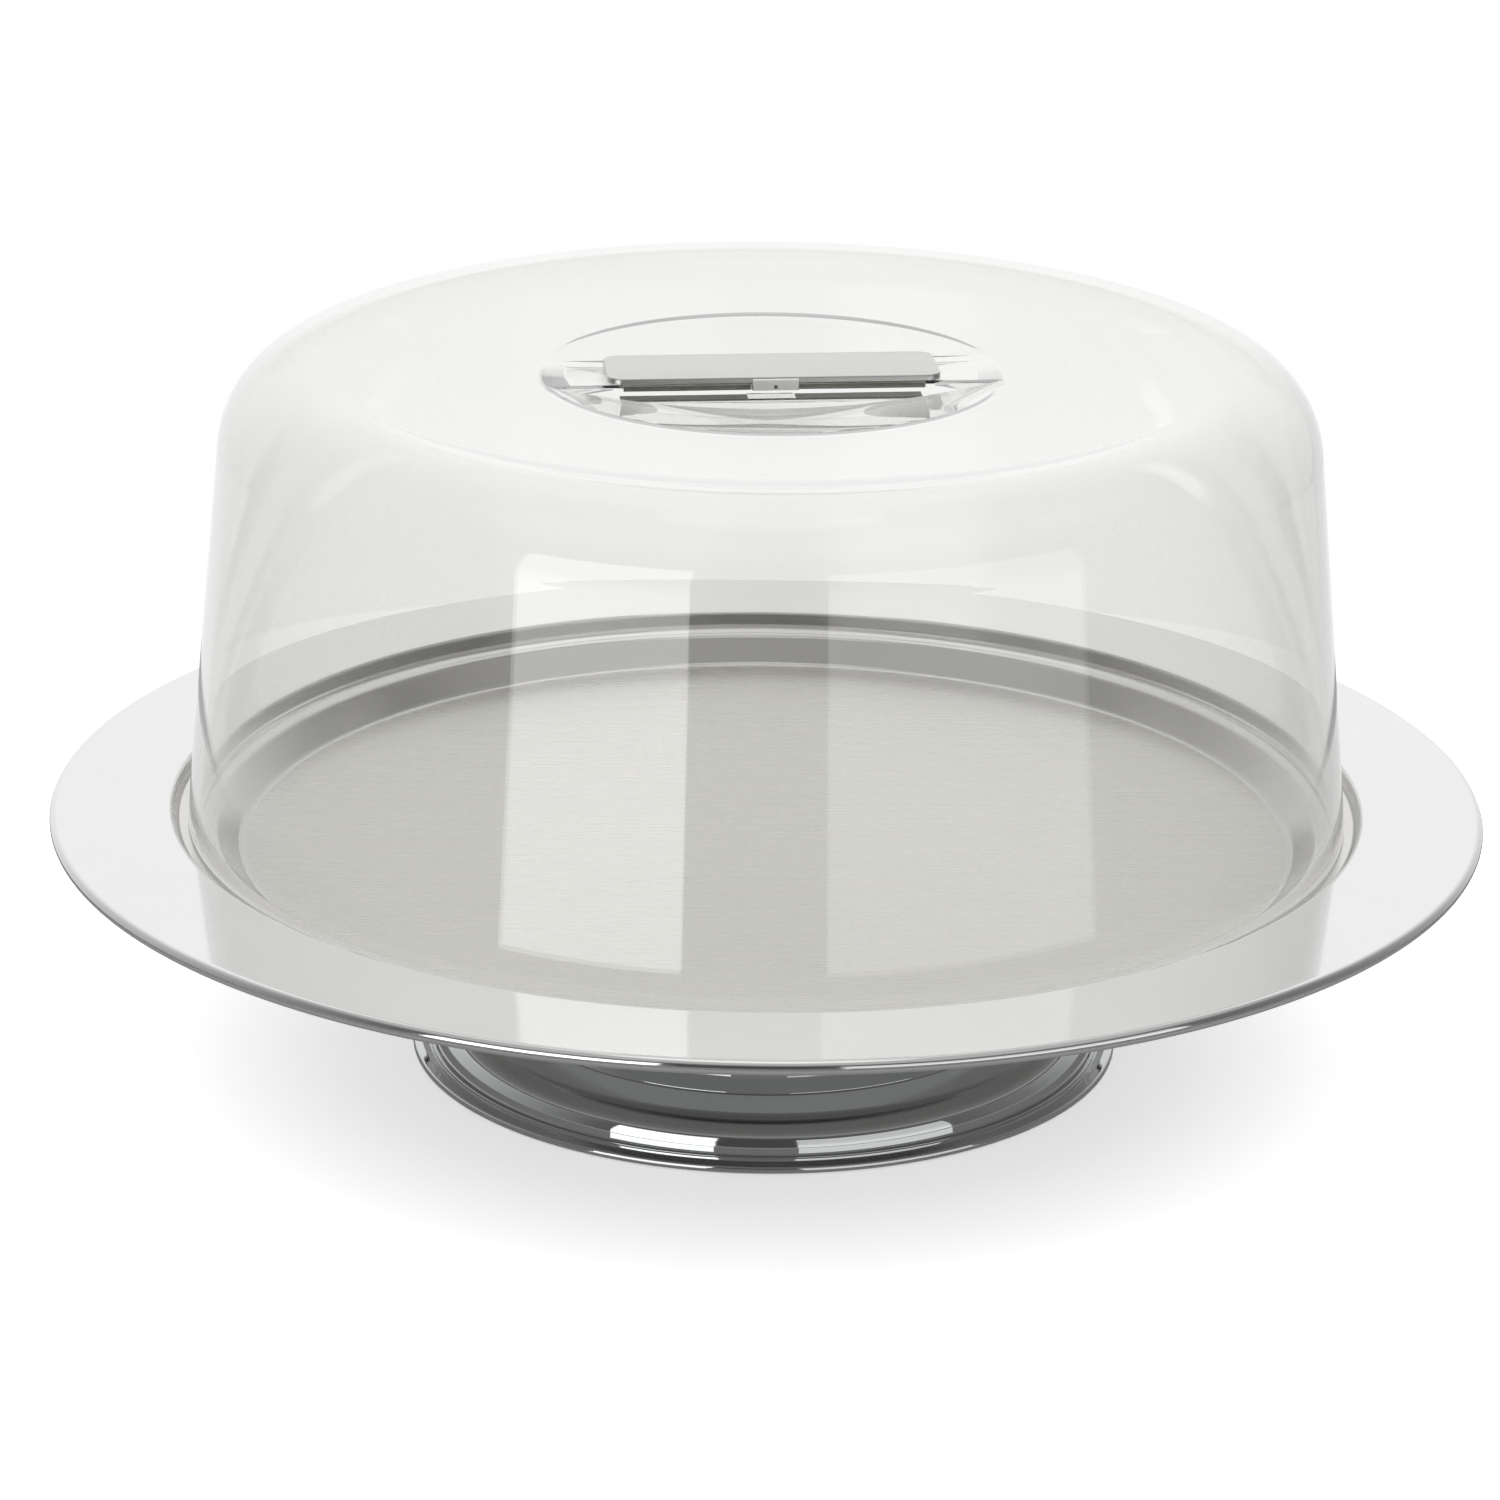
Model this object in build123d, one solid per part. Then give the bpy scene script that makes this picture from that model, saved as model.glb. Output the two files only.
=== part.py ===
from build123d import *
import math
import os

# Turning cake stand with a clear dome. Millimetres, +Z up, origin on the table under the
# centre of the foot. The bar and bridge of the dome's grip run along X.

# Plate: one pressing with a rolled edge, a flat rim, a ledge for the dome and a sunk floor.
plate_radius = 190.0
rim_height = 70.6
plate_sheet = 1.2
rim_width = 31.7
edge_roll_height = 3.8
edge_return = 5.0
rim_bend_radius = 1.6
ledge_bend_radius = 0.8
ledge_drop = 4.0
ledge_slope_run = 2.1
ledge_width = 9.7
floor_drop = 11.3
well_wall_run = 6.5
well_bend_radius = 2.4

# Foot: drawn shell with a bead, a groove, an upright band, a round shoulder and an open drum.
drum_radius = 71.0
foot_sheet = 1.0
flange_width = 18.4
flange_height = 11.4
flange_rise = 0.8
band_run = 0.2
shoulder_bend_radius = 7.9
groove_height = 2.0
bead_inner_run = 1.6
bead_crest_width = 1.6
bead_outer_run = 2.1
bead_height = 2.9
bead_side_height = 1.5
bead_bend_radius = 0.9
flange_bend_radius = 1.6
drum_gap = 1.6

# Bearing cup: pressed cup welded inside the drum's top. It carries the pivot and the bearing.
cup_bend_radius = 1.6

# Anti-slip ring in the bead's channel. It stands proud of the steel.
ring_proud = 0.5
ring_width = 1.9
ring_side_gap = 0.1

# Ball bearing between the cup's floor and the hub disc.
ball_radius = 2.5
ball_count = 12
ball_groove_fit = 0.1
ball_pocket_fit = 0.15
race_half_width = 8.0
race_thickness = 2.4
race_gap = 3.0
race_side_gap = 9.0
cage_half_width = 4.5
cage_thickness = 1.6
hub_thickness = 2.0
hub_side_gap = 7.0
rivet_radius = 1.5
rivet_count = 4
rivet_inset = 2.6
rivet_head_radius = 3.0
rivet_head_height = 1.0
fixed_fit = 0.05

# Pivot: a headed stud, a flanged bushing, two washers and a lock nut.
stud_radius = 4.0
stud_head_radius = 7.0
stud_end = 1.8
running_fit = 0.05
bushing_wall = 3.5
bushing_flange_radius = 12.0
bushing_flange_thickness = 1.5
bushing_tail = 0.5
stiffener_radius = 30.0
stiffener_thickness = 2.5
washer_gap = 0.3
slide_washer_radius = 11.0
slide_washer_thickness = 1.5
spring_washer_radius = 7.0
spring_washer_thickness = 1.2
nut_across_flats = 13.0
nut_height = 8.0

# Dome: clear moulding with drafted wall, round shoulder and a slightly sunk top.
dome_wall = 3.0
dome_side_gap = 2.3
dome_height = 124.0
dome_draft = 5.71
shoulder_radius = 24.3
top_sag = 6.1
dome_lip_radius = 1.0

# Grip: a shallow round finger dish with a straight bridge across it.
dish_radius = 60.0
dish_depth = 7.0
dish_rim_radius = 30.0
bridge_margin = 1.0
bridge_end_bury = 3.0
bridge_wall = 2.5
slot_floor = 2.2
slot_depth = 2.3
slot_end_margin = 4.05
slot_side_margin = 3.0
bridge_edge_radius = 0.8

# Bar on the bridge, held by two bonding pads and by a pinned clip in the middle.
bar_length = 86.5
bar_width = 24.0
bar_thickness = 1.5
bar_corner_radius = 4.0
bar_edge_radius = 0.4
pad_clearance = 0.1
clip_length = 12.2
clip_depth = 2.4
clip_clearance = 0.1
clip_lip_height = 1.1
lug_width = 5.0
lug_thickness = 1.4
lug_inset = 1.6
lug_height = 2.2
pin_radius = 0.4
pin_fit = 0.03
pin_bite = 2.0

# Heights and radii that follow from the sizes above.
underside = rim_height - floor_drop - plate_sheet
well_radius = plate_radius - rim_width
ledge_outer_radius = well_radius - ledge_slope_run
ledge_inner_radius = ledge_outer_radius - ledge_width
floor_radius = ledge_inner_radius - well_wall_run
seat_height = rim_height - ledge_drop
floor_height = rim_height - floor_drop
drum_top = underside - drum_gap
hub_bottom = underside - hub_thickness
upper_race_bottom = hub_bottom - race_thickness
lower_race_top = upper_race_bottom - race_gap
web_top = lower_race_top - race_thickness
web_bottom = web_top - foot_sheet
ball_height = (upper_race_bottom + lower_race_top) / 2
cup_radius = drum_radius - foot_sheet - fixed_fit
recess_radius = cup_radius - foot_sheet
ball_circle_radius = recess_radius - race_half_width - race_side_gap
hub_radius = recess_radius - hub_side_gap
rivet_circle = ball_circle_radius + race_half_width - rivet_inset
groove_radius = drum_radius + flange_width + band_run
bead_inner_radius = groove_radius + bead_inner_run
bead_outer_radius = bead_inner_radius + bead_crest_width
foot_radius = bead_outer_radius + bead_outer_run
bushing_radius = stud_radius + running_fit + bushing_wall
stiffener_bottom = web_bottom - stiffener_thickness
bushing_bottom = stiffener_bottom - bushing_tail
slide_washer_top = bushing_bottom - washer_gap
spring_washer_top = slide_washer_top - slide_washer_thickness
nut_top = spring_washer_top - spring_washer_thickness
dome_foot_radius = ledge_outer_radius - dome_side_gap
bridge_width = bar_width + 2 * bridge_margin
bridge_roof = slot_depth + slot_floor
slot_length = bar_length - 2 * slot_end_margin
slot_width = bar_width - 2 * slot_side_margin


def revolved(points, radii=None):
    """Ring or disc from the closed outline of (radius, height) points, with one radius a corner."""
    if radii is None:
        line = Polyline(*points, close=True)
    else:
        line = FilletPolyline(*points, radius=radii, close=True)
    return revolve(Plane.XZ * make_face(line), Axis.Z)


def ring(inner, outer, bottom, top):
    """Plain ring. An inner radius of nothing gives a disc."""
    return revolved([(inner, bottom), (outer, bottom), (outer, top), (inner, top)])


def pressed_sheet(points, radii, thickness):
    """Revolved sheet. The points run along its outer face, with the metal on their left."""
    count = len(points)
    runs = []
    for start, end in zip(points, points[1:]):
        length = math.dist(start, end)
        runs.append(((end[0] - start[0]) / length, (end[1] - start[1]) / length))
    inner = []
    inner_radii = []
    for index, (r, z) in enumerate(points):
        before = runs[max(index - 1, 0)]
        after = runs[min(index, count - 2)]
        share = thickness / (1 + before[0] * after[0] + before[1] * after[1])
        inner.append((r - share * (before[1] + after[1]), z + share * (before[0] + after[0])))
        turn = before[0] * after[1] - before[1] * after[0]
        if 0 < index < count - 1:
            change = -thickness if turn > 0 else thickness
            inner_radii.append(max(radii[index - 1] + change, 0.0))
    outline = list(points) + inner[::-1]
    corners = [0, *radii, 0, 0, *inner_radii[::-1], 0]
    return revolved(outline, corners)


def spread(shape, count):
    """Copies of a shape, evenly round the axis."""
    return [Rot(0, 0, index * 360 / count) * shape for index in range(count)]


def cylinder(radius, bottom, top, x=0.0):
    return Pos(x, 0, (bottom + top) / 2) * Cylinder(radius, top - bottom)


def box(length, width, bottom, top, x=0.0, y=0.0):
    return Pos(x, y, (bottom + top) / 2) * Box(length, width, top - bottom)


def make_plate():
    edge_bottom = rim_height - edge_roll_height
    half_round = edge_roll_height / 2
    points = [
        (plate_radius - edge_return, edge_bottom),
        (plate_radius, edge_bottom),
        (plate_radius, rim_height),
        (well_radius, rim_height),
        (ledge_outer_radius, seat_height),
        (ledge_inner_radius, seat_height),
        (floor_radius, floor_height),
        (0, floor_height),
    ]
    radii = [half_round, half_round, rim_bend_radius, ledge_bend_radius, well_bend_radius, well_bend_radius]
    return pressed_sheet(points, radii, plate_sheet)


def make_foot_shell():
    points = [
        (foot_radius, ring_proud),
        (foot_radius, ring_proud + bead_side_height),
        (bead_outer_radius, bead_height),
        (bead_inner_radius, bead_height),
        (groove_radius, groove_height),
        (drum_radius + flange_width, flange_height),
        (drum_radius, flange_height + flange_rise),
        (drum_radius, drum_top),
    ]
    # The bead's crest and the groove are creased, and the rest is bent round.
    radii = [bead_bend_radius, 0.0, 0.0, 0.0, shoulder_bend_radius, flange_bend_radius]
    return pressed_sheet(points, radii, foot_sheet)


def make_bearing_cup():
    points = [(cup_radius, drum_top), (cup_radius, web_bottom), (bushing_radius + fixed_fit, web_bottom)]
    cup = pressed_sheet([(-r, z) for r, z in points], [cup_bend_radius + foot_sheet], foot_sheet)
    for hole in spread(cylinder(rivet_radius + fixed_fit, web_bottom, web_top, rivet_circle), rivet_count):
        cup -= hole
    return cup


def make_race(bottom, top):
    race = ring(ball_circle_radius - race_half_width, ball_circle_radius + race_half_width, bottom, top)
    race -= Pos(0, 0, ball_height) * Torus(ball_circle_radius, ball_radius + ball_groove_fit)
    for hole in spread(cylinder(rivet_radius + fixed_fit, bottom, top, rivet_circle), rivet_count):
        race -= hole
    return race


def make_cage():
    half = cage_thickness / 2
    cage = ring(
        ball_circle_radius - cage_half_width,
        ball_circle_radius + cage_half_width,
        ball_height - half,
        ball_height + half,
    )
    pocket = cylinder(ball_radius + ball_pocket_fit, ball_height - half, ball_height + half, ball_circle_radius)
    for hole in spread(pocket, ball_count):
        cage -= hole
    return cage


def make_hub_disc():
    hub = ring(stud_head_radius + fixed_fit, hub_radius, hub_bottom, underside)
    for hole in spread(cylinder(rivet_radius + fixed_fit, hub_bottom, underside, rivet_circle), rivet_count):
        hub -= hole
    return hub


def make_lower_rivets():
    shank = cylinder(rivet_radius, web_bottom, lower_race_top, rivet_circle)
    head = cylinder(rivet_head_radius, web_bottom - rivet_head_height, web_bottom, rivet_circle)
    return spread(shank + head, rivet_count)


def make_stud():
    stud = cylinder(stud_radius, nut_top - nut_height - stud_end, hub_bottom)
    return stud + cylinder(stud_head_radius, hub_bottom, underside)


def make_bushing():
    body = ring(stud_radius + running_fit, bushing_radius, bushing_bottom, web_top)
    flange_top = web_top + bushing_flange_thickness
    return body + ring(stud_radius + running_fit, bushing_flange_radius, web_top, flange_top)


def make_nut():
    face = RegularPolygon(nut_across_flats / 2, 6, major_radius=False) - Circle(stud_radius)
    return Pos(0, 0, nut_top - nut_height) * extrude(face, nut_height)


# The dome's top: the shoulder's centre, the wide arc of the sunk top and the dish below it.
draft = math.radians(dome_draft)
crest_height = seat_height + dome_height
shoulder_height = crest_height - shoulder_radius
wall_top = shoulder_height + shoulder_radius * math.sin(draft)
shoulder_centre = (
    dome_foot_radius - math.tan(draft) * (wall_top - seat_height) - shoulder_radius * math.cos(draft)
)
top_low = crest_height - top_sag
low_rise = top_low - shoulder_height
top_arc_radius = (shoulder_centre**2 + low_rise**2 - shoulder_radius**2) / (
    2 * (shoulder_radius - low_rise)
)
top_arc_height = top_low + top_arc_radius
bridge_top = top_arc_height - math.sqrt(top_arc_radius**2 - dish_radius**2)
dish_sphere_radius = (dish_radius**2 + dish_depth**2) / (2 * dish_depth)
dish_sphere_height = bridge_top - dish_depth + dish_sphere_radius


def bridge_bar(length, bottom):
    """Straight bar with the bridge's width, height and rounded top edges."""
    half = bridge_width / 2
    corners = [(-half, bottom), (half, bottom), (half, bridge_top), (-half, bridge_top)]
    radii = [0, 0, bridge_edge_radius, bridge_edge_radius]
    section = Plane.YZ * make_face(FilletPolyline(*corners, radius=radii, close=True))
    return Pos(-length / 2, 0, 0) * extrude(section, length)


def dome_body(inset):
    """Solid of the dome's outside, or of its inside when the inset is the wall."""
    shoulder = shoulder_radius - inset
    top_arc = top_arc_radius + inset
    side = (shoulder_centre + shoulder * math.cos(draft), shoulder_height + shoulder * math.sin(draft))
    foot = (side[0] + math.tan(draft) * (side[1] - seat_height), seat_height)
    lean = math.atan2(top_arc_height - shoulder_height, -shoulder_centre)
    crest = (shoulder_centre + shoulder * math.cos(lean), shoulder_height + shoulder * math.sin(lean))
    half_lean = (draft + lean) / 2
    middle = (
        shoulder_centre + shoulder * math.cos(half_lean),
        shoulder_height + shoulder * math.sin(half_lean),
    )
    centre = (0, top_arc_height - top_arc)
    sweep = math.asin(crest[0] / top_arc) / 2
    between = (top_arc * math.sin(sweep), top_arc_height - top_arc * math.cos(sweep))
    outline = [
        Line((0, seat_height), foot),
        Line(foot, side),
        ThreePointArc(side, middle, crest),
        ThreePointArc(crest, between, centre),
        Line(centre, (0, seat_height)),
    ]
    return revolve(Plane.XZ * make_face(outline), Axis.Z)


def make_dome():
    outside = dome_body(0.0) - Pos(0, 0, dish_sphere_height) * Sphere(dish_sphere_radius)
    rim = outside.edges().sort_by_distance((0, dish_radius, bridge_top))[0]
    outside = fillet(rim, dish_rim_radius)
    inside = dome_body(dome_wall) - Pos(0, 0, dish_sphere_height) * Sphere(dish_sphere_radius + dome_wall)
    # The bridge crosses the dish and is hollow below, like the rest of the moulding.
    bridge_bottom = bridge_top - dish_depth - dome_wall / 2
    bridge = bridge_bar(2 * (dish_radius + bridge_end_bury), bridge_bottom)
    trough_bottom = bridge_bottom - dome_wall
    trough_top = bridge_top - bridge_roof
    trough = box(2 * dish_radius, bridge_width - 2 * bridge_wall, trough_bottom, trough_top)
    trough &= cylinder(dish_radius, trough_bottom, trough_top)
    dome = outside + bridge - inside - trough
    lip = dome.edges().filter_by(GeomType.CIRCLE).group_by(Axis.Z)[0]
    dome = fillet(lip, dome_lip_radius)
    slot = box(slot_length, slot_width, bridge_top - slot_depth, bridge_top)
    notch = box(clip_length, bridge_width, bridge_top - clip_depth, bridge_top)
    return dome - slot - notch


def lug_places():
    """Middle of each lug across the bar."""
    place = bar_width / 2 - lug_inset - lug_thickness / 2
    return [-place, place]


def pin_solid(radius, side):
    """Pin from the bridge's side face through the lug into the clip."""
    outer = bridge_width / 2
    inner = bar_width / 2 - lug_inset - lug_thickness - pin_bite
    height = bridge_top - clip_depth / 2
    return Pos(0, side * (outer + inner) / 2, height) * Rot(90, 0, 0) * Cylinder(radius, outer - inner)


def make_bar():
    plan = RectangleRounded(bar_length, bar_width, bar_corner_radius)
    bar = Pos(0, 0, bridge_top) * extrude(plan, bar_thickness)
    bar = fillet(bar.faces().sort_by(Axis.Z)[-1].edges(), bar_edge_radius)
    for place in lug_places():
        bar += box(lug_width, lug_thickness, bridge_top - lug_height, bridge_top, y=place)
    for side in (-1, 1):
        bar -= pin_solid(pin_radius + pin_fit, side)
    return bar


def make_clip():
    """Block under the bar, with a low lip in front of each of the bar's long edges."""
    length = clip_length - 2 * clip_clearance
    lip_width = bridge_margin - clip_clearance
    clip = box(length, bridge_width, bridge_top - clip_depth, bridge_top)
    for side in (-1, 1):
        place = side * (bridge_width - lip_width) / 2
        clip += box(length, lip_width, bridge_top, bridge_top + clip_lip_height, y=place)
    for place in lug_places():
        clip -= box(
            lug_width + 2 * clip_clearance,
            lug_thickness + 2 * clip_clearance,
            bridge_top - lug_height - clip_clearance,
            bridge_top,
            y=place,
        )
    for side in (-1, 1):
        clip -= pin_solid(pin_radius + pin_fit, side)
    return clip


def make_pads():
    inner = clip_length / 2 + pad_clearance
    outer = slot_length / 2 - pad_clearance
    width = slot_width - 2 * pad_clearance
    return [
        box(outer - inner, width, bridge_top - slot_depth, bridge_top, x=side * (outer + inner) / 2)
        for side in (-1, 1)
    ]


def make_foot_ring():
    """The ring's top touches the bead's channel. Its outer corner follows the bead's fall."""
    outer = foot_radius - foot_sheet - ring_side_gap
    inner = outer - ring_width
    top = bead_height - foot_sheet
    fall = math.atan2(bead_height - bead_side_height - ring_proud, bead_outer_run)
    bevel = bead_outer_radius - foot_sheet * math.tan(fall / 2) - ring_side_gap
    bevel_end = top - (outer - bevel) * math.tan(fall)
    return revolved([(inner, 0), (outer, 0), (outer, bevel_end), (bevel, top), (inner, top)])


nodes = {
    "plate": make_plate(),
    "foot_shell": make_foot_shell(),
    "foot_ring": make_foot_ring(),
    "bearing_cup": make_bearing_cup(),
    "web_stiffener": ring(bushing_radius + fixed_fit, stiffener_radius, stiffener_bottom, web_bottom),
    "pivot_bushing": make_bushing(),
    "lower_race": make_race(web_top, lower_race_top),
    "lower_rivets": make_lower_rivets(),
    "ball_cage": make_cage(),
    "balls": spread(Pos(ball_circle_radius, 0, ball_height) * Sphere(ball_radius), ball_count),
    "upper_race": make_race(upper_race_bottom, hub_bottom),
    "upper_rivets": spread(cylinder(rivet_radius, upper_race_bottom, underside, rivet_circle), rivet_count),
    "hub_disc": make_hub_disc(),
    "pivot_stud": make_stud(),
    "slide_washer": ring(
        stud_radius + fixed_fit, slide_washer_radius, spring_washer_top, slide_washer_top
    ),
    "spring_washer": ring(stud_radius + fixed_fit, spring_washer_radius, nut_top, spring_washer_top),
    "lock_nut": make_nut(),
    "dome": make_dome(),
    "handle_bar": make_bar(),
    "bar_pads": make_pads(),
    "handle_clip": make_clip(),
    "clip_pins": [pin_solid(pin_radius, side) for side in (-1, 1)],
}

os.makedirs("parts", exist_ok=True)
for name, shape in nodes.items():
    if isinstance(shape, list):
        shape = Compound(children=shape)
    export_step(shape, f"parts/{name}.step")
    print(name, len(shape.solids()), "solids, volume", round(shape.volume, 1))
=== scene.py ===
# %% [markdown]
# # A turning cake stand with a clear dome
#
# The CAD parts come in first and stay where they are. The pieces that the eye meets are then
# modelled again in the same sizes with smooth bends, and the pieces inside and underneath keep
# their CAD shape and get a finish. A few small sizes follow the photograph more closely than the
# CAD parts do: the lean of the foot's band, the depth of the grip's clip and its pins.

# %% Load the CAD parts
import math

import bpy
from mathutils import Matrix, Vector


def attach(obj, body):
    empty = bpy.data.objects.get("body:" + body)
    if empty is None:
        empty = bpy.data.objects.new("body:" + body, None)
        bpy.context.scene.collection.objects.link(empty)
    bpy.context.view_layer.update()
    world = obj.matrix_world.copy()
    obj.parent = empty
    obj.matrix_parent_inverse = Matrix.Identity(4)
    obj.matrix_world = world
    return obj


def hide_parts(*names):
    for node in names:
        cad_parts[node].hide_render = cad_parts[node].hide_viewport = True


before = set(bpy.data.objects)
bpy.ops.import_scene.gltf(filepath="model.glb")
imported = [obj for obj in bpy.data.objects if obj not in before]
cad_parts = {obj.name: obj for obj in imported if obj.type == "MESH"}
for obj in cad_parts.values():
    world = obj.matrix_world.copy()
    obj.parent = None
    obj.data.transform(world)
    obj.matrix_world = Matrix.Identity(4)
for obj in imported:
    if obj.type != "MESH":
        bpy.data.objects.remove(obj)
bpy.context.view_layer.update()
MM = 0.001

# %% [markdown]
# ## Tools for turned pieces
#
# A plate, a foot or a dome is a half outline turned about the upright axis. By hand one
# merges a plane to a single point, extrudes that point along the outline and spins the line.
# The outline's corners are written down, and every bend becomes an arc. A held point beside
# each arc keeps the flat next to it truly flat, so a mirror finish shows no false curve.

# %% Round the corners of an outline
# An arc has a point about every nine degrees, and no fewer than three steps.
arc_step, fewest_steps = 9, 3


def rounded(corners, radii, hold=0.3):
    """Points of an open outline in mm, with an arc of the given radius at each inner corner.

    A point is held that far in mm from each end of an arc, where the flat is long enough.
    """
    corners = [Vector(corner) for corner in corners]
    points = [corners[0]]
    for before, corner, after, radius in zip(corners, corners[1:], corners[2:], radii):
        if radius == 0:
            points.append(corner)
            continue
        back = (before - corner).normalized()
        on = (after - corner).normalized()
        bend = math.pi - back.angle(on)
        reach = radius * math.tan(bend / 2)
        side = 1 if back.y * on.x - back.x * on.y > 0 else -1
        start = corner + back * reach
        centre = corner + (back + on).normalized() * (radius / math.cos(bend / 2))
        spoke = start - centre
        if (before - start).length > 2 * hold:
            points.append(start + back * hold)
        steps = max(fewest_steps, round(math.degrees(bend) / arc_step))
        for step in range(steps + 1):
            a = side * bend * step / steps
            c, s = math.cos(a), math.sin(a)
            points.append(centre + Vector((c * spoke.x - s * spoke.y, s * spoke.x + c * spoke.y)))
        if (after - corner).length - reach > 2 * hold:
            points.append(corner + on * (reach + hold))
    points.append(corners[-1])
    return points


def pressed(corners, radii, sheet):
    """Outer and inner points of a bent sheet. The corners run with the metal on their left."""
    corners = [Vector(corner) for corner in corners]
    runs = [(b - a).normalized() for a, b in zip(corners, corners[1:])]
    inner, inner_radii = [], []
    for i, corner in enumerate(corners):
        before, after = runs[max(i - 1, 0)], runs[min(i, len(runs) - 1)]
        share = sheet / (1 + before.dot(after))
        inner.append(corner + Vector((-before.y - after.y, before.x + after.x)) * share)
        if 0 < i < len(corners) - 1:
            left = before.x * after.y - before.y * after.x > 0
            inner_radii.append(max(radii[i - 1] + (-sheet if left else sheet), 0.0))
    return rounded(corners, radii), rounded(inner, inner_radii)


# %% Trace an outline and turn it
seed_size, same_place = 0.002, 1e-6


def free_hands():
    """Leave edit mode and deselect everything."""
    if bpy.context.mode != "OBJECT":
        bpy.ops.object.mode_set(mode="OBJECT")
    bpy.ops.object.select_all(action="DESELECT")


def trace(name, points):
    """A line of extruded points, given as (radius, height) in mm. It stays in edit mode."""
    free_hands()
    bpy.ops.mesh.primitive_plane_add(size=seed_size)
    piece = bpy.context.object
    piece.name = piece.data.name = name
    bpy.ops.object.mode_set(mode="EDIT")
    bpy.ops.mesh.select_mode(type="VERT")
    bpy.ops.mesh.select_all(action="SELECT")
    bpy.ops.mesh.merge(type="CENTER")
    bpy.ops.transform.translate(value=(points[0][0] * MM, 0, points[0][1] * MM))
    for a, b in zip(points, points[1:]):
        step = ((b[0] - a[0]) * MM, 0, (b[1] - a[1]) * MM)
        bpy.ops.mesh.extrude_vertices_move(TRANSFORM_OT_translate={"value": step})
    return piece


def turn(steps=256):
    """Spin the line just traced once round, close its seam and poles, and point faces outwards."""
    bpy.ops.mesh.select_all(action="SELECT")
    bpy.ops.mesh.spin(steps=steps, angle=2 * math.pi, center=(0, 0, 0), axis=(0, 0, 1))
    bpy.ops.mesh.select_all(action="SELECT")
    bpy.ops.mesh.remove_doubles(threshold=same_place)
    bpy.ops.mesh.normals_make_consistent(inside=False)
    bpy.ops.object.mode_set(mode="OBJECT")


def settle(piece, angle=35):
    """Put the object at the origin, with its place in its mesh, and smooth its round faces."""
    free_hands()
    piece.select_set(True)
    bpy.context.view_layer.objects.active = piece
    bpy.ops.object.transform_apply(location=True, rotation=True, scale=True)
    bpy.ops.object.shade_smooth_by_angle(angle=math.radians(angle))
    size = piece.dimensions / MM
    print(f"{piece.name}: {size.x:.1f} x {size.y:.1f} x {size.z:.1f} mm, {len(piece.data.polygons)} faces")


# %% [markdown]
# ## The plate
#
# The plate is one pressing in stainless steel. Its rim is wide and flat, and its edge is
# rolled down and back under. A short slope leads to the ledge that carries the dome, and a
# steeper wall leads to the sunk disc for the cake.

# %% Plate
rim_height, plate_radius, well_radius, plate_sheet = 70.6, 190.0, 158.3, 1.2
ledge_height, ledge_outer, ledge_inner = 66.6, 156.2, 146.5
disc_height, disc_radius = 59.3, 140.0
roll_reach, roll_drop = 5.0, 3.8
plate_corners = [
    (plate_radius - roll_reach, rim_height - roll_drop),
    (plate_radius, rim_height - roll_drop),
    (plate_radius, rim_height),
    (well_radius, rim_height),
    (ledge_outer, ledge_height),
    (ledge_inner, ledge_height),
    (disc_radius, disc_height),
    (0.0, disc_height),
]
plate_bends = [1.9, 1.9, 1.6, 0.8, 2.4, 2.4]
top_face, under_face = pressed(plate_corners, plate_bends, plate_sheet)
plate = trace("stand_plate", top_face[::-1] + under_face)
turn()
settle(plate)

# %% [markdown]
# ## The foot
#
# The foot is a drawn shell: a plain drum, a narrow flange, a large round shoulder that turns
# into an upright band, a groove and a raised bead that stands on the table. The shoulder
# draws the bright windows and the dark strip above the groove, so its arc matters most.

# %% Foot
drum_radius, drum_height, foot_sheet, foot_radius = 71.0, 56.5, 1.0, 94.9
bead_bottom, bead_side, bead_top, bead_outer, bead_inner = 0.5, 2.0, 2.9, 92.8, 91.2
groove_radius, band_top_radius, band_top, flange_height = 89.9, 89.25, 11.4, 12.2
foot_corners = [
    (foot_radius, bead_bottom),
    (foot_radius, bead_side),
    (bead_outer, bead_top),
    (bead_inner, bead_top),
    (groove_radius, bead_side),
    (band_top_radius, band_top),
    (drum_radius, flange_height),
    (drum_radius, drum_height),
]
shoulder_bend = 7.9
bead_bend, groove_bend, flange_bend = 0.9, 0.45, 0.4
foot_bends = [bead_bend, groove_bend, groove_bend, groove_bend, shoulder_bend, flange_bend]
outer_face, inner_face = pressed(foot_corners, foot_bends, foot_sheet)
foot = trace("stand_foot", outer_face + inner_face[::-1] + outer_face[:1])
turn()
settle(foot)

# %% [markdown]
# ## The anti-slip ring
#
# A soft ring sits in the bead's channel and stands half a millimetre proud, so the steel
# never touches the table. Its outer corner follows the fall of the bead.

# %% Anti-slip ring
ring_outer, ring_inner, ring_side, ring_top = 93.8, 91.9, 1.4, 1.9
ring_start, ring_fall = 92.8, 92.6
ring_corners = [
    (ring_start, 0.0),
    (ring_outer, 0.0),
    (ring_outer, ring_side),
    (ring_fall, ring_top),
    (ring_inner, ring_top),
    (ring_inner, 0.0),
    (ring_start, 0.0),
]
ring_outline = rounded(ring_corners, [0.25, 0.25, 0.15, 0.15, 0.25], hold=0.1)
foot_ring = trace("grip_ring", ring_outline)
turn()
settle(foot_ring)

# %% [markdown]
# ## The dome
#
# The dome is moulded in clear plastic, three millimetres thick. Its wall leans in a little so
# that it leaves the mould, its shoulder is round and its top sinks towards a shallow finger
# dish. Outside and inside are the same arcs, the inside ones moved in by the wall, so one
# function gives both.

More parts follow.
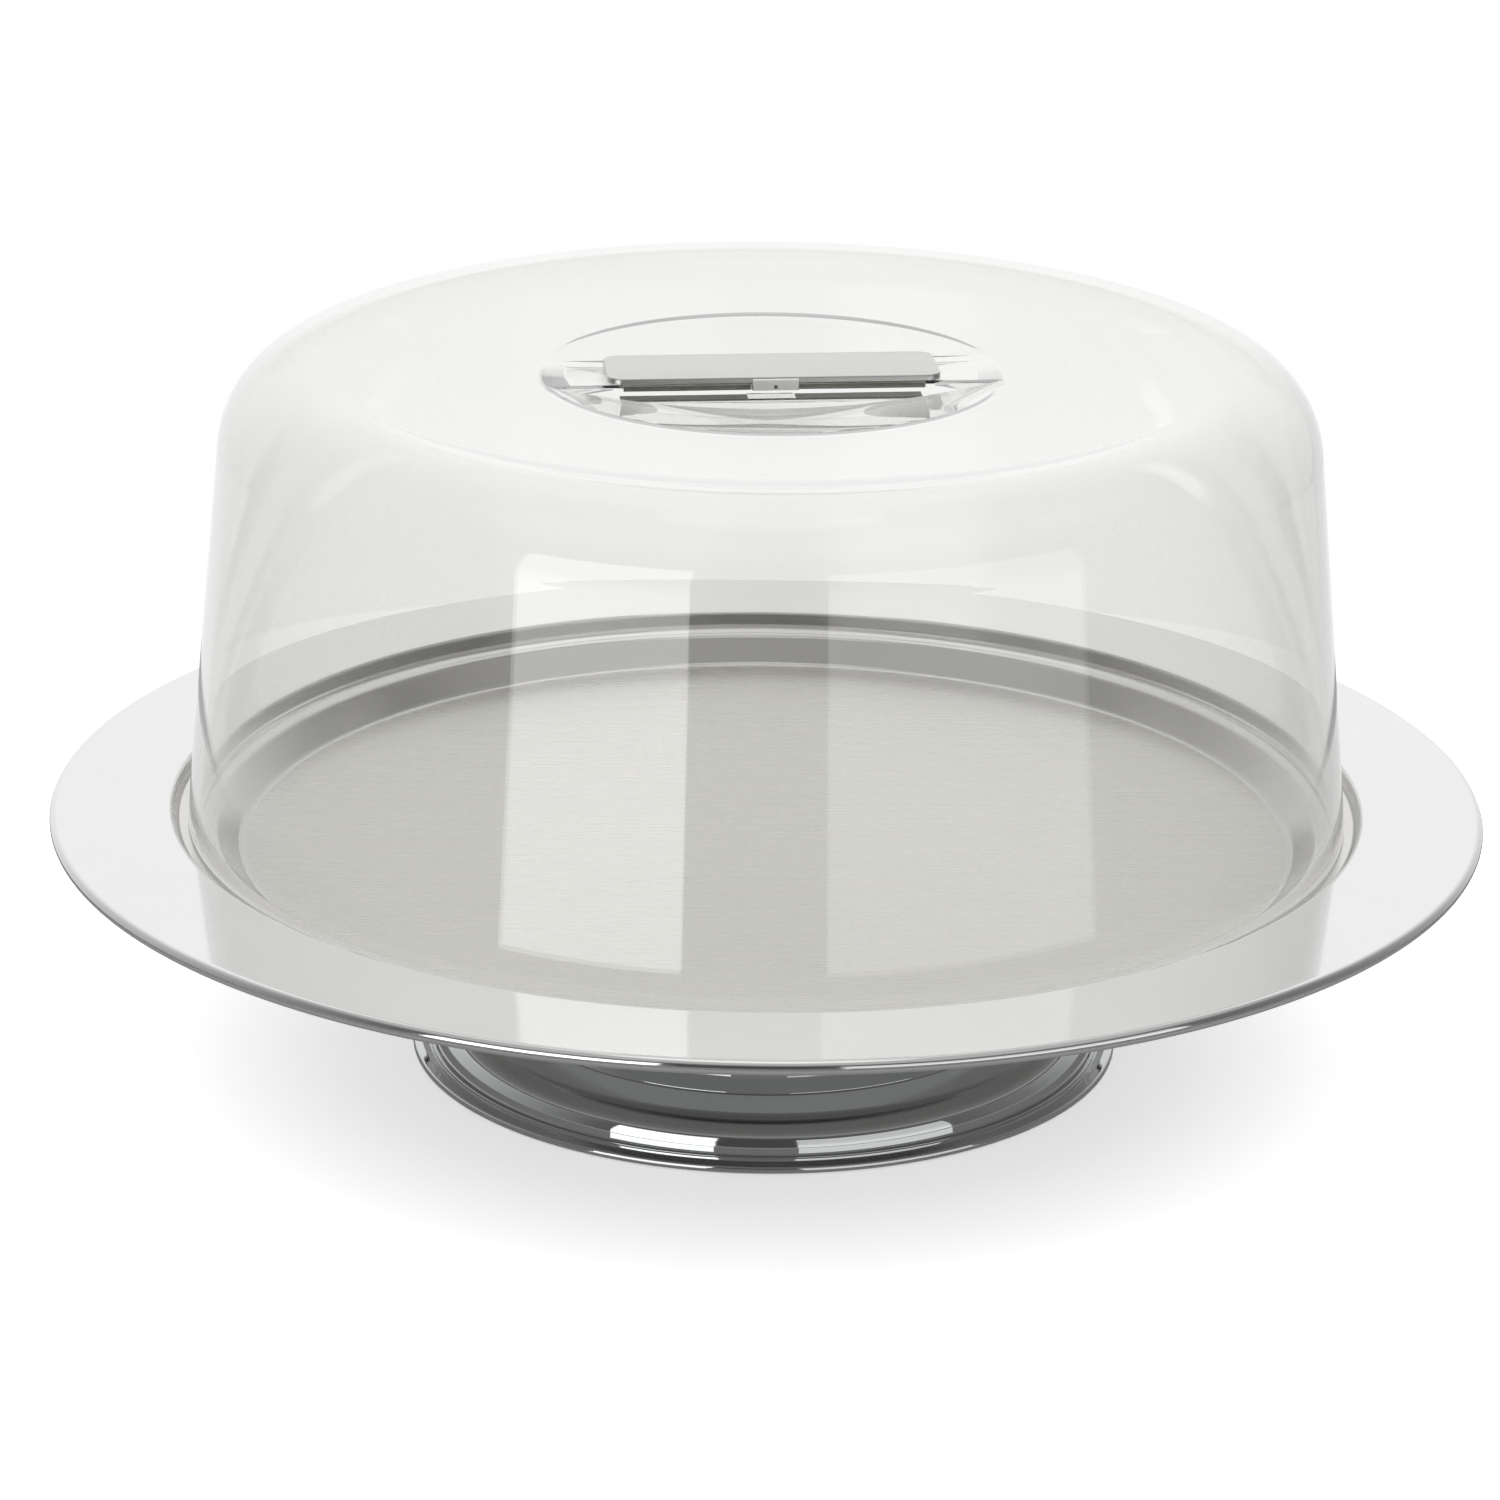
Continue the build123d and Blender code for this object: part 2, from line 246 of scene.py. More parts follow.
# %% The dome's arcs
dome_wall, draft = 3.0, math.radians(5.71)
foot_outer, shoulder_radius, top_sag = 153.9, 24.3, 6.1
dome_height = 124.0
crest_height = ledge_height + dome_height
shoulder_height = crest_height - shoulder_radius
wall_top = shoulder_height + shoulder_radius * math.sin(draft)
lean_in = math.tan(draft) * (wall_top - ledge_height)
shoulder_centre = foot_outer - lean_in - shoulder_radius * math.cos(draft)
low_rise = shoulder_radius - top_sag
top_arc = (shoulder_centre**2 + low_rise**2 - shoulder_radius**2) / (2 * (shoulder_radius - low_rise))
top_arc_height = crest_height - top_sag + top_arc
dish_radius, dish_depth, soft_edge = 60.0, 7.0, 0.9
bridge_top = top_arc_height - math.sqrt(top_arc**2 - dish_radius**2)
dish_arc = (dish_radius**2 + dish_depth**2) / (2 * dish_depth)
dish_arc_height = bridge_top - dish_depth + dish_arc
dish_steps, edge_steps, top_steps, shoulder_steps = 22, 9, 16, 26
print("bridge top at", round(bridge_top, 2), "dish radius of curvature", round(dish_arc, 1))


def arc(centre_r, centre_z, radius, first, last, steps):
    """Points of an arc in mm. The angles are measured up from the level."""
    angles = [first + (last - first) * i / steps for i in range(steps + 1)]
    return [(centre_r + radius * math.cos(a), centre_z + radius * math.sin(a)) for a in angles]


def dome_top(inset):
    """Outline of the dome from its axis to the top of its wall, moved in by the inset."""
    dish, top = dish_arc + inset, top_arc + inset
    meet_z = (top_arc_height**2 - top**2 - dish_arc_height**2 + dish**2) / (
        2 * (top_arc_height - dish_arc_height)
    )
    meet_r = math.sqrt(dish**2 - (meet_z - dish_arc_height) ** 2)
    down = -math.pi / 2
    dish_end = down + math.asin((meet_r - soft_edge) / dish)
    top_start = down + math.asin((meet_r + soft_edge) / top)
    lean = math.atan2(top_arc_height - shoulder_height, -shoulder_centre)
    top_end = lean - math.pi
    dish_points = arc(0, dish_arc_height, dish, down, dish_end, dish_steps)
    top_points = arc(0, top_arc_height, top, top_start, top_end, top_steps)
    a, b = Vector(dish_points[-1]), Vector(top_points[0])
    corner = Vector((meet_r, meet_z))
    between = []
    for i in range(1, edge_steps):
        t = i / edge_steps
        between.append(tuple(a * (1 - t) ** 2 + corner * (2 * t * (1 - t)) + b * t**2))
    shoulder = arc(shoulder_centre, shoulder_height, shoulder_radius - inset, lean, draft, shoulder_steps)
    points = dish_points + between + top_points + shoulder[1:]
    points[0] = (0.0, points[0][1])
    return points


# %% Shell of the dome
outside, inside = dome_top(0.0), dome_top(dome_wall)
foot_inner = foot_outer - dome_wall / math.cos(draft)
lip_corners = [outside[-1], (foot_outer, ledge_height), (foot_inner, ledge_height), inside[-1]]
lip_bend, wall_steps = 1.0, 4
lip = rounded(lip_corners, [lip_bend, lip_bend])
wall_out = [Vector(outside[-1]).lerp(lip[1], i / wall_steps) for i in range(1, wall_steps)]
wall_in = [lip[-2].lerp(Vector(inside[-1]), i / wall_steps) for i in range(1, wall_steps)]
dome = trace("clear_dome", outside + wall_out + lip[1:-1] + wall_in + inside[::-1])
turn()

# %% [markdown]
# ## The bridge
#
# A straight bridge crosses the dish as the grip's core. It is added as a block that ends in
# the middle of the wall, so the union has no coincident faces, and it is then hollowed from
# below like the rest of the moulding. A slot takes the two pads under the bar and a notch
# takes the clip.

# %% Cut and join with solid shapes
def block(name, length, width, bottom, top, x=0.0, y=0.0):
    """A box in mm about (x, y), between two heights."""
    free_hands()
    bpy.ops.mesh.primitive_cube_add(size=MM, location=(x * MM, y * MM, (bottom + top) / 2 * MM))
    piece = bpy.context.object
    piece.name = piece.data.name = name
    piece.scale = (length, width, top - bottom)
    bpy.ops.object.transform_apply(location=True, rotation=True, scale=True)
    return piece


def soften(piece, radius, steps, chosen):
    """Bevel the edges that the test chooses. It gets both ends of an edge, in mm."""
    free_hands()
    bpy.context.view_layer.objects.active = piece
    piece.select_set(True)
    bpy.ops.object.mode_set(mode="EDIT")
    bpy.ops.mesh.select_mode(type="EDGE")
    bpy.ops.mesh.select_all(action="DESELECT")
    bpy.ops.object.mode_set(mode="OBJECT")
    points = [vertex.co / MM for vertex in piece.data.vertices]
    for edge in piece.data.edges:
        edge.select = chosen(points[edge.vertices[0]], points[edge.vertices[1]])
    bpy.ops.object.mode_set(mode="EDIT")
    bpy.ops.mesh.bevel(offset=radius * MM, segments=steps, affect="EDGES", clamp_overlap=True)
    bpy.ops.object.mode_set(mode="OBJECT")


def carve(piece, tool, operation="DIFFERENCE"):
    """Cut the tool out of the piece, or join it, and throw the tool away."""
    free_hands()
    bpy.context.view_layer.objects.active = piece
    piece.select_set(True)
    cut = piece.modifiers.new("cut", "BOOLEAN")
    cut.operation = operation
    cut.solver = "EXACT"
    cut.object = tool
    bpy.ops.object.modifier_apply(modifier=cut.name)
    bpy.data.objects.remove(tool)


# Heights in mm that count as the same, a rise that counts as one, and the least long edge.
same_height, clear_rise, long_edge = 0.01, 0.5, 50


def upright(a, b):
    """True for an edge whose ends lie at different heights."""
    return abs(a.z - b.z) > clear_rise


def level_at(height):
    """A test for edges that lie at the height."""
    return lambda a, b: abs(a.z - height) < same_height and abs(b.z - height) < same_height


# %% Bridge
# A cutter reaches this far in mm past each face that it opens.
past_face = 1
bar_length, bar_width, bar_thickness, bridge_ledge = 86.5, 24.0, 1.5, 1.0
bridge_width, bridge_half = bar_width + 2 * bridge_ledge, bar_width / 2 + bridge_ledge
bridge_bottom = bridge_top - dish_depth - dome_wall
bridge_run, bridge_bend, bridge_bend_steps = dish_radius + 3.0, 0.8, 4
bridge = block("bridge", 2 * bridge_run, bridge_width, bridge_bottom, bridge_top)
soften(
    bridge, bridge_bend, bridge_bend_steps,
    lambda a, b: level_at(bridge_top)(a, b) and abs(a.x - b.x) > long_edge,
)
below_radius, below_floor = 90, 150.0
mid_wall = [point for point in dome_top(dome_wall / 2) if point[0] < below_radius]
below = trace("below", mid_wall + [(mid_wall[-1][0], below_floor), (0.0, below_floor)])
turn(128)
carve(bridge, below)
carve(dome, bridge, "UNION")

# %% Hollow, slot and notch
trough_length, trough_depth, trough_wall, trough_roof = 113.0, 8.0, 2.5, 4.5
trough_top = bridge_top - trough_roof
trough = block(
    "trough", trough_length, bridge_width - 2 * trough_wall, trough_top - trough_depth, trough_top
)
soften(trough, bridge_bend, 3, level_at(trough_top))
carve(dome, trough)
slot_length, slot_width, slot_depth = bar_length - 8.1, bar_width - 6.0, 2.3
carve(dome, block("slot", slot_length, slot_width, bridge_top - slot_depth, bridge_top + past_face))
clip_length, clip_depth = 12.2, 1.8
notch_floor, notch_width = bridge_top - clip_depth, bridge_width + 2 * past_face
carve(dome, block("notch", clip_length, notch_width, notch_floor, bridge_top + past_face))
dome_flat_angle = 30
settle(dome, dome_flat_angle)

# %% [markdown]
# ## The bar, its pads, clip and pins
#
# The grip is a strip of satin steel with round corners and a softened upper edge. Two pads
# bond it into the bridge's slot, and a clip in the middle holds two lugs with pins.

# %% Bar
bar_top, bar_corner, bar_edge = bridge_top + bar_thickness, 4.0, 0.4
bar = block("grip_bar", bar_length, bar_width, bridge_top, bar_top)
soften(bar, bar_corner, 10, upright)
soften(bar, bar_edge, 4, level_at(bar_top))
lug_length, lug_thickness, lug_depth, lug_place, lug_root = 5.0, 1.4, 2.2, 9.7, 0.5
for side in (-1, 1):
    lug_bottom, lug_top = bridge_top - lug_depth, bridge_top + lug_root
    lug = block("lug", lug_length, lug_thickness, lug_bottom, lug_top, y=side * lug_place)
    carve(bar, lug, "UNION")

# %% Pads
pad_gap, pad_press, pad_drop, pad_corner = 0.1, 0.02, 0.01, 0.3
pad_inner, pad_outer = clip_length / 2 + pad_gap, slot_length / 2 - pad_gap
pad_bottom, pad_top = bridge_top - slot_depth - pad_press, bridge_top - pad_drop
pads = block(
    "bonding_pads", pad_outer - pad_inner, slot_width - 2 * pad_gap, pad_bottom, pad_top,
    x=(pad_inner + pad_outer) / 2,
)
soften(pads, pad_corner, 3, upright)
free_hands()
pads.select_set(True)
bpy.context.view_layer.objects.active = pads
bpy.ops.object.mode_set(mode="EDIT")
bpy.ops.mesh.select_all(action="SELECT")
bpy.ops.mesh.duplicate_move(TRANSFORM_OT_translate={"value": (-(pad_inner + pad_outer) * MM, 0, 0)})
bpy.ops.object.mode_set(mode="OBJECT")
settle(pads)

# %% Clip
clip_gap, clip_edge, clip_wall, clip_rise = 0.1, 0.35, 0.9, 1.1
clip_lip = bridge_top + clip_rise
clip = block("grip_clip", clip_length - 2 * clip_gap, bridge_width, bridge_top - clip_depth, clip_lip)
soften(clip, clip_edge, 4, lambda a, b: level_at(clip_lip)(a, b) or upright(a, b))
seat_length, seat_width = clip_length + 2 * past_face, bridge_width - 2 * clip_wall
carve(clip, block("seat", seat_length, seat_width, bridge_top, clip_lip + past_face))
for side in (-1, 1):
    pocket = block(
        "pocket", lug_length + 2 * clip_gap, lug_thickness + 2 * clip_gap,
        bridge_top - lug_depth - clip_gap, bridge_top + past_face, y=side * lug_place,
    )
    carve(clip, pocket)


# %% Pins
def rod(name, radius, length, y):
    """A round rod along Y in mm, at the height of the pins."""
    free_hands()
    bpy.ops.mesh.primitive_cylinder_add(
        vertices=32, radius=radius * MM, depth=length * MM,
        location=(0, y * MM, (bridge_top - clip_depth / 2) * MM), rotation=(math.pi / 2, 0, 0),
    )
    piece = bpy.context.object
    piece.name = piece.data.name = name
    bpy.ops.object.transform_apply(location=True, rotation=True, scale=True)
    return piece


pin_inner, pin_outer, pin_radius, pin_gap, pin_edge = 7.0, bridge_half, 0.5, 0.03, 0.1
pin_middle, pin_length = (pin_inner + pin_outer) / 2, pin_outer - pin_inner
for side in (-1, 1):
    for holder in (bar, clip):
        carve(holder, rod("hole", pin_radius + pin_gap, pin_length, side * pin_middle))
settle(bar)
settle(clip)
pins = rod("grip_pins", pin_radius, pin_length, -pin_middle)
soften(pins, pin_edge, 3, lambda a, b: abs(a.y - b.y) < same_height)
free_hands()
pins.select_set(True)
bpy.context.view_layer.objects.active = pins
bpy.ops.object.mode_set(mode="EDIT")
bpy.ops.mesh.select_all(action="SELECT")
bpy.ops.mesh.duplicate_move(TRANSFORM_OT_translate={"value": (0, 2 * pin_middle * MM, 0)})
bpy.ops.object.mode_set(mode="OBJECT")
settle(pins)

# %% [markdown]
# ## Finishes
#
# Every finish is built from nodes on Object coordinates, which are metres here, so a grain
# keeps its real size. A small helper adds a node with its settings, its numbers and its links.

# %% Node helpers
def add(tree, kind, links=None, values=None, **settings):
    """Add a node, set its choices and numbers, and link its inputs."""
    node = tree.nodes.new(kind)
    for name, value in settings.items():
        setattr(node, name, value)
    for socket, value in (values or {}).items():
        node.inputs[socket].default_value = value
    for socket, source in (links or {}).items():
        tree.links.new(source, node.inputs[socket])
    return node


def finish_of(name, **numbers):
    """A material with its Principled shader, and constant numbers set on the shader."""
    material = bpy.data.materials.new(name)
    material.use_nodes = True
    tree = material.node_tree
    shader = tree.nodes["Principled BSDF"]
    for socket, value in numbers.items():
        shader.inputs[socket.replace("_", " ")].default_value = value
    return material, tree, shader


def pattern(tree, scale, stretch=(1, 1, 1), turned=0.0, detail=3.0):
    """Noise in metres. The stretch draws it out, after a turn about the upright axis."""
    place = add(tree, "ShaderNodeTexCoord").outputs["Object"]
    turned_place = add(tree, "ShaderNodeMapping", {"Vector": place}, {"Rotation": (0, 0, turned)})
    drawn = add(tree, "ShaderNodeMapping", {"Vector": turned_place.outputs[0]}, {"Scale": stretch})
    noise = add(
        tree, "ShaderNodeTexNoise", {"Vector": drawn.outputs[0]}, {"Scale": scale, "Detail": detail}
    )
    return noise.outputs["Fac"]


noise_low, noise_high = 0.3, 0.7


def between(tree, source, low, high, start=noise_low, end=noise_high):
    """The source's values from start to end, spread between two numbers."""
    spread = add(
        tree, "ShaderNodeMapRange", {"Value": source},
        {"From Min": start, "From Max": end, "To Min": low, "To Max": high},
    )
    return spread.outputs["Result"]


def shades(tree, source, dark, light):
    """The pattern's values as a run between two colours."""
    ramp = add(tree, "ShaderNodeValToRGB", {"Fac": source})
    for element, place, colour in zip(ramp.color_ramp.elements, (noise_low, noise_high), (dark, light)):
        element.position = place
        element.color = (*colour, 1)
    return ramp.outputs["Color"]


def greys(tree, source, marks):
    """Grey levels at places along the source's values, which run from 0 to 1."""
    ramp = add(tree, "ShaderNodeValToRGB", {"Fac": source})
    while len(ramp.color_ramp.elements) < len(marks):
        ramp.color_ramp.elements.new(0.5)
    for element, (place, level) in zip(ramp.color_ramp.elements, marks):
        element.position = place
        element.color = (level, level, level, 1)
    return ramp.outputs["Color"]


def from_axis(tree):
    """Distance from the stand's upright axis in metres."""
    place = add(tree, "ShaderNodeTexCoord").outputs["Object"]
    flat = add(tree, "ShaderNodeMapping", {"Vector": place}, {"Scale": (1, 1, 0)})
    return add(tree, "ShaderNodeVectorMath", {0: flat.outputs[0]}, operation="LENGTH").outputs["Value"]


def relief(tree, shader, source, depth, strength):
    """The pattern as fine relief, with its depth in mm."""
    bump = add(tree, "ShaderNodeBump", {"Height": source}, {"Strength": strength, "Distance": depth * MM})
    tree.links.new(bump.outputs["Normal"], shader.inputs["Normal"])


def plug(tree, shader, **links):
    """Link sources to the shader's sockets, with underscores in place of their spaces."""
    for socket, source in links.items():
        tree.links.new(source, shader.inputs[socket.replace("_", " ")])


# %% [markdown]
# ### Steel
#
# The rim, the walls and the foot are polished, the disc has a straight fine brushing that
# runs across the stand, and the bar is satin along its length. Polish is a low roughness with
# very slight clouding. Brushing is noise drawn out along one direction, which stirs the
# colour, the roughness and the relief together.

# %% Polished steel
brushing_turn = math.radians(5.5)
hair_stretch, fine_stretch, broad_stretch = (60, 2400, 2400), (25, 3200, 3200), (6, 420, 420)


def polished(name, dark, light, low, high, depth):
    """Polished steel between two colours and two roughnesses, with relief in mm."""
    material, tree, shader = finish_of(name, Metallic=1.0)
    clouds = pattern(tree, 22, detail=3)
    hairs = pattern(tree, 1, hair_stretch, brushing_turn, detail=2)
    colour = shades(tree, clouds, dark, light)
    plug(tree, shader, Base_Color=colour, Roughness=between(tree, hairs, low, high))
    relief(tree, shader, hairs, depth, 0.2)
    return material


rim_steel = polished("polished_rim_steel", (0.825, 0.828, 0.823), (0.845, 0.847, 0.842), 0.05, 0.10, 0.0002)
well_steel = polished("satin_well_steel", (0.70, 0.69, 0.675), (0.74, 0.73, 0.715), 0.16, 0.22, 0.0001)
foot_chrome = polished("bright_foot_steel", (0.655, 0.67, 0.665), (0.675, 0.69, 0.685), 0.03, 0.06, 0.0001)


# %% Brushed steel
def brushed(name, dark, light, low, high, depth, turned=0.0):
    """Brushed steel between two colours and two roughnesses, with relief in mm."""
    material, tree, shader = finish_of(name, Metallic=1.0)
    fine = pattern(tree, 1, fine_stretch, turned, detail=2)
    broad = pattern(tree, 1, broad_stretch, turned, detail=3)
    both = add(tree, "ShaderNodeMath", {0: fine, 1: broad}, operation="ADD")
    half = add(tree, "ShaderNodeMath", {0: both.outputs[0]}, {1: 0.5}, operation="MULTIPLY").outputs[0]
    colour = shades(tree, half, dark, light)
    plug(tree, shader, Base_Color=colour, Roughness=between(tree, half, low, high))
    relief(tree, shader, fine, depth, 0.5)
    return material


disc_steel = brushed(
    "brushed_disc_steel", (0.73, 0.72, 0.695), (0.75, 0.74, 0.715), 0.25, 0.31, 0.00012, brushing_turn
)
bar_steel = brushed("satin_bar_steel", (0.62, 0.62, 0.61), (0.70, 0.70, 0.69), 0.24, 0.36, 0.0012)

# %% [markdown]
# ### Clear plastic
#
# The dome is clear acrylic. A very slight unevenness from the mould bends what is seen
# through it. Lamps pass through it, as through the real thin wall, because the finish is
# mixed with a transparent one for shadow rays. Light that is caught inside the wall leaves
# it after three reflections, where the renderer would otherwise lose it and paint it black.
# It leaves dimmed, which is a painted shade: by half under the grip, where many edges lie close together,
# and a little beyond it.

# %% Clear plastic
acrylic_tint = (0.945, 0.945, 0.932, 1)
clear, tree, shader = finish_of(
    "clear_acrylic", Transmission_Weight=1.0, IOR=1.49, Base_Color=acrylic_tint
)
flow = pattern(tree, 14, detail=1)
plug(tree, shader, Roughness=between(tree, flow, 0.0, 0.012))
relief(tree, shader, flow, 0.06, 0.2)
# Painted shade: the caught light's transparent colour is 0.45 within 70 mm of the axis and 0.84 beyond 75
# mm.
painted_shade_at_grip, painted_shade_beyond, grip_reach, beyond_grip, over_two = 0.45, 0.84, 0.070, 0.075, 2.5
path = add(tree, "ShaderNodeLightPath")
reflections = path.outputs["Glossy Depth"]
caught = add(tree, "ShaderNodeMath", {0: reflections}, {1: over_two}, operation="GREATER_THAN")
painted_shade_by_reach = between(tree, from_axis(tree), painted_shade_at_grip, painted_shade_beyond, grip_reach, beyond_grip)
painted_dimming = add(tree, "ShaderNodeMapRange", {"Value": caught.outputs[0], "To Max": painted_shade_by_reach}, {"To Min": 1.0})
passing = add(tree, "ShaderNodeBsdfTransparent", {"Color": painted_dimming.outputs["Result"]})
mixed = add(tree, "ShaderNodeMixShader")
open_to = {0: path.outputs["Is Shadow Ray"], 1: caught.outputs[0]}
opened = add(tree, "ShaderNodeMath", open_to, operation="MAXIMUM")
tree.links.new(opened.outputs[0], mixed.inputs[0])
tree.links.new(shader.outputs[0], mixed.inputs[1])
tree.links.new(passing.outputs[0], mixed.inputs[2])
tree.links.new(mixed.outputs[0], tree.nodes["Material Output"].inputs["Surface"])

# %% [markdown]
# ### Plastics, rubber and the steel inside
#
# The small parts are moulded or plated. Each gets a faint clouding in its colour, an uneven
# gloss and a fine skin, which is what tells moulded plastic from paint.


# %% Moulded and plated finishes
def moulded(name, dark, light, low, high, grain=1600, depth=0.01):
    """Moulded plastic or rubber, with its grain's scale and its relief in mm."""
    material, tree, shader = finish_of(name, IOR=1.46)
    clouds = pattern(tree, 90, detail=3)
    skin = pattern(tree, grain, detail=2)
    colour = shades(tree, clouds, dark, light)
    plug(tree, shader, Base_Color=colour, Roughness=between(tree, skin, low, high))
    relief(tree, shader, skin, depth, 0.4)
    return material


def plated(name, dark, light, low, high):
    """Plated steel, which is a little cloudy all over."""
    material, tree, shader = finish_of(name, Metallic=1.0)
    clouds = pattern(tree, 160, detail=4)
    skin = pattern(tree, 900, detail=2)
    colour = shades(tree, clouds, dark, light)
    plug(tree, shader, Base_Color=colour, Roughness=between(tree, skin, low, high))
    relief(tree, shader, skin, 0.004, 0.3)
    return material


pad_rubber = moulded("olive_pad_rubber", (0.36, 0.35, 0.29), (0.42, 0.41, 0.345), 0.45, 0.6)
# The pale finish for the pads' undersides is painted light, which lifts undersides that lie in shade.
pad_underside_painted_light = moulded("pale_pad_underside_painted_light", (0.80, 0.80, 0.77), (0.86, 0.86, 0.83), 0.4, 0.5)
clip_plastic = moulded("pale_clip_plastic", (0.66, 0.66, 0.62), (0.74, 0.74, 0.70), 0.25, 0.35)
foot_rubber = moulded(
    "dark_foot_rubber", (0.020, 0.020, 0.020), (0.035, 0.035, 0.035), 0.6, 0.75, grain=900, depth=0.03
)
bushing_plastic = moulded("pale_bushing_plastic", (0.62, 0.61, 0.56), (0.70, 0.69, 0.64), 0.35, 0.5)
cage_plastic = moulded("cage_plastic", (0.30, 0.29, 0.24), (0.38, 0.37, 0.31), 0.35, 0.5)
pin_steel = plated("dark_pin_steel", (0.20, 0.20, 0.20), (0.30, 0.30, 0.30), 0.2, 0.35)
inner_steel = plated("zinc_plated_steel", (0.46, 0.47, 0.48), (0.60, 0.61, 0.62), 0.28, 0.5)
ball_steel = plated("bearing_ball_steel", (0.58, 0.58, 0.58), (0.66, 0.66, 0.66), 0.05, 0.12)

# %% [markdown]
# ## Put the finishes on
#
# The plate has three finishes: the disc is brushed, the well's walls are a little satin and the
# rest is polished. The pads' downward faces are pale, a painted light on their shaded undersides.
# Each new piece hides the CAD node that it stands for and rides the same body. The CAD nodes
# that stay get their finish in their own slots.

# %% Finish and place the new pieces
def dress(piece, finish, slot, body, *nodes):
    """Give a piece its finish in a material slot, its body and the nodes it stands for. The slot argument
    is not used.
    """
    piece.data.materials.clear()
    piece.data.materials.append(finish)
    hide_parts(*nodes)
    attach(piece, body)


dress(plate, rim_steel, "plate_steel", "turntable", "plate")
plate.data.materials.append(disc_steel)
plate.data.materials.append(well_steel)
disc_slot, well_slot, flat_face, upward_face = 1, 2, 0.999, 0.3
for face in plate.data.polygons:
    middle = face.center / MM
    reach = math.hypot(middle.x, middle.y)
    if face.normal.z > flat_face and abs(middle.z - disc_height) < same_height:
        face.material_index = disc_slot
    elif reach < ledge_outer + 1 and face.normal.z > upward_face:
        face.material_index = well_slot
dress(foot, foot_chrome, "foot_steel", "base", "foot_shell")
dress(foot_ring, foot_rubber, "foot_rubber", "base", "foot_ring")
dress(dome, clear, "clear_plastic", "lid", "dome")
dress(bar, bar_steel, "bar_steel", "lid", "handle_bar")
dress(pads, pad_rubber, "pad_rubber", "lid", "bar_pads")
pads.data.materials.append(pad_underside_painted_light)
# The pads' downward faces take the pale finish, painted light on their shaded undersides.
downward_face = -0.9
for face in pads.data.polygons:
    face.material_index = int(face.normal.z < downward_face)
dress(clip, clip_plastic, "clip_plastic", "lid", "handle_clip")
dress(pins, pin_steel, "pin_steel", "lid", "clip_pins")

# %% Finish the CAD nodes that stay
inner_finishes = {
    "bearing_cup": inner_steel,
    "web_stiffener": inner_steel,
    "pivot_bushing": bushing_plastic,
    "lower_race": inner_steel,
    "lower_rivets": inner_steel,
    "ball_cage": cage_plastic,
    "balls": ball_steel,
    "upper_race": inner_steel,
    "upper_rivets": inner_steel,
    "hub_disc": inner_steel,
    "pivot_stud": inner_steel,
    "slide_washer": bushing_plastic,
    "spring_washer": inner_steel,
    "lock_nut": inner_steel,
}
for name, finish in inner_finishes.items():
    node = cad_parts[name]
    node.data.materials.clear()
    node.data.materials.append(finish)
print("finished CAD nodes:", len(inner_finishes))

# %% [markdown]
# ## Camera
#
# The photograph looks down at about nineteen degrees through a long lens, with the stand
# turned a little, so the bar's right end lies further back.

# %% Camera
look_turn, look_down, look_roll = math.radians(5.5), math.radians(19.229), math.radians(0.612)
look_distance, focal_pixels, frame_pixels, sensor = 1.40077, 5256.99, 1500, 36.0
right = Vector((math.cos(look_turn), -math.sin(look_turn), 0))
away = Vector((math.sin(look_turn), math.cos(look_turn), 0))
up = Vector((0, 0, 1))
target_right, target_height = -0.004461, 0.081552
target = right * target_right + up * target_height
forward = away * math.cos(look_down) - up * math.sin(look_down)
raised = right.cross(forward)
rolled_right = right * math.cos(look_roll) + raised * math.sin(look_roll)
rolled_up = raised * math.cos(look_roll) - right * math.sin(look_roll)
turned = Matrix((rolled_right, rolled_up, -forward)).transposed()
bpy.ops.object.camera_add(location=target - forward * look_distance, rotation=turned.to_euler())
camera = bpy.context.object
camera.name = "photo_camera"
camera.data.sensor_width = sensor
camera.data.lens = focal_pixels * sensor / frame_pixels
camera.data.clip_start, camera.data.clip_end = 0.05, 50
bpy.context.scene.camera = camera
print("lens in mm:", round(camera.data.lens, 1))

# %% [markdown]
# ## Studio
#
# Bright metal and clear plastic look like what surrounds them. The air is white on all sides.
# A wall stands all round, dark behind the camera and white at the far side. Two tall bright
# panels hang in front of it and draw the upright windows on the dome and on the foot. A
# shorter panel above each shows in a second reflection alone, which gives the rim its windows.
# Only reflections see the wall and panels, so every other view keeps its white background.

# %% Air and view
free_hands()
world = bpy.data.worlds.new("studio_air")
bpy.context.scene.world = world
world.use_nodes = True
world.node_tree.nodes["Background"].inputs["Color"].default_value = (1, 1, 1, 1)
world.node_tree.nodes["Background"].inputs["Strength"].default_value = 1.0
bpy.context.scene.view_settings.view_transform = "Standard"
print("air strength:", world.node_tree.nodes["Background"].inputs["Strength"].default_value)

# %% Surroundings that only reflections see
sector_steps, panel_steps = 48, 12


def seen_in_mirrors(tree, shader, first, last):
    """Let only the first to the last reflection see the shader. Other views pass through."""
    path = add(tree, "ShaderNodeLightPath")
    passing = add(tree, "ShaderNodeBsdfTransparent")
    mixed = add(tree, "ShaderNodeMixShader")
    middle, reach = (first + last) / 2, (last - first + 1) / 2
    depth = path.outputs["Glossy Depth"]
    mirrored = add(tree, "ShaderNodeMath", {0: depth}, {1: middle, 2: reach}, operation="COMPARE")
    tree.links.new(mirrored.outputs[0], mixed.inputs[0])
    tree.links.new(passing.outputs[0], mixed.inputs[1])
    tree.links.new(shader.outputs[0], mixed.inputs[2])
    tree.links.new(mixed.outputs[0], tree.nodes["Material Output"].inputs["Surface"])


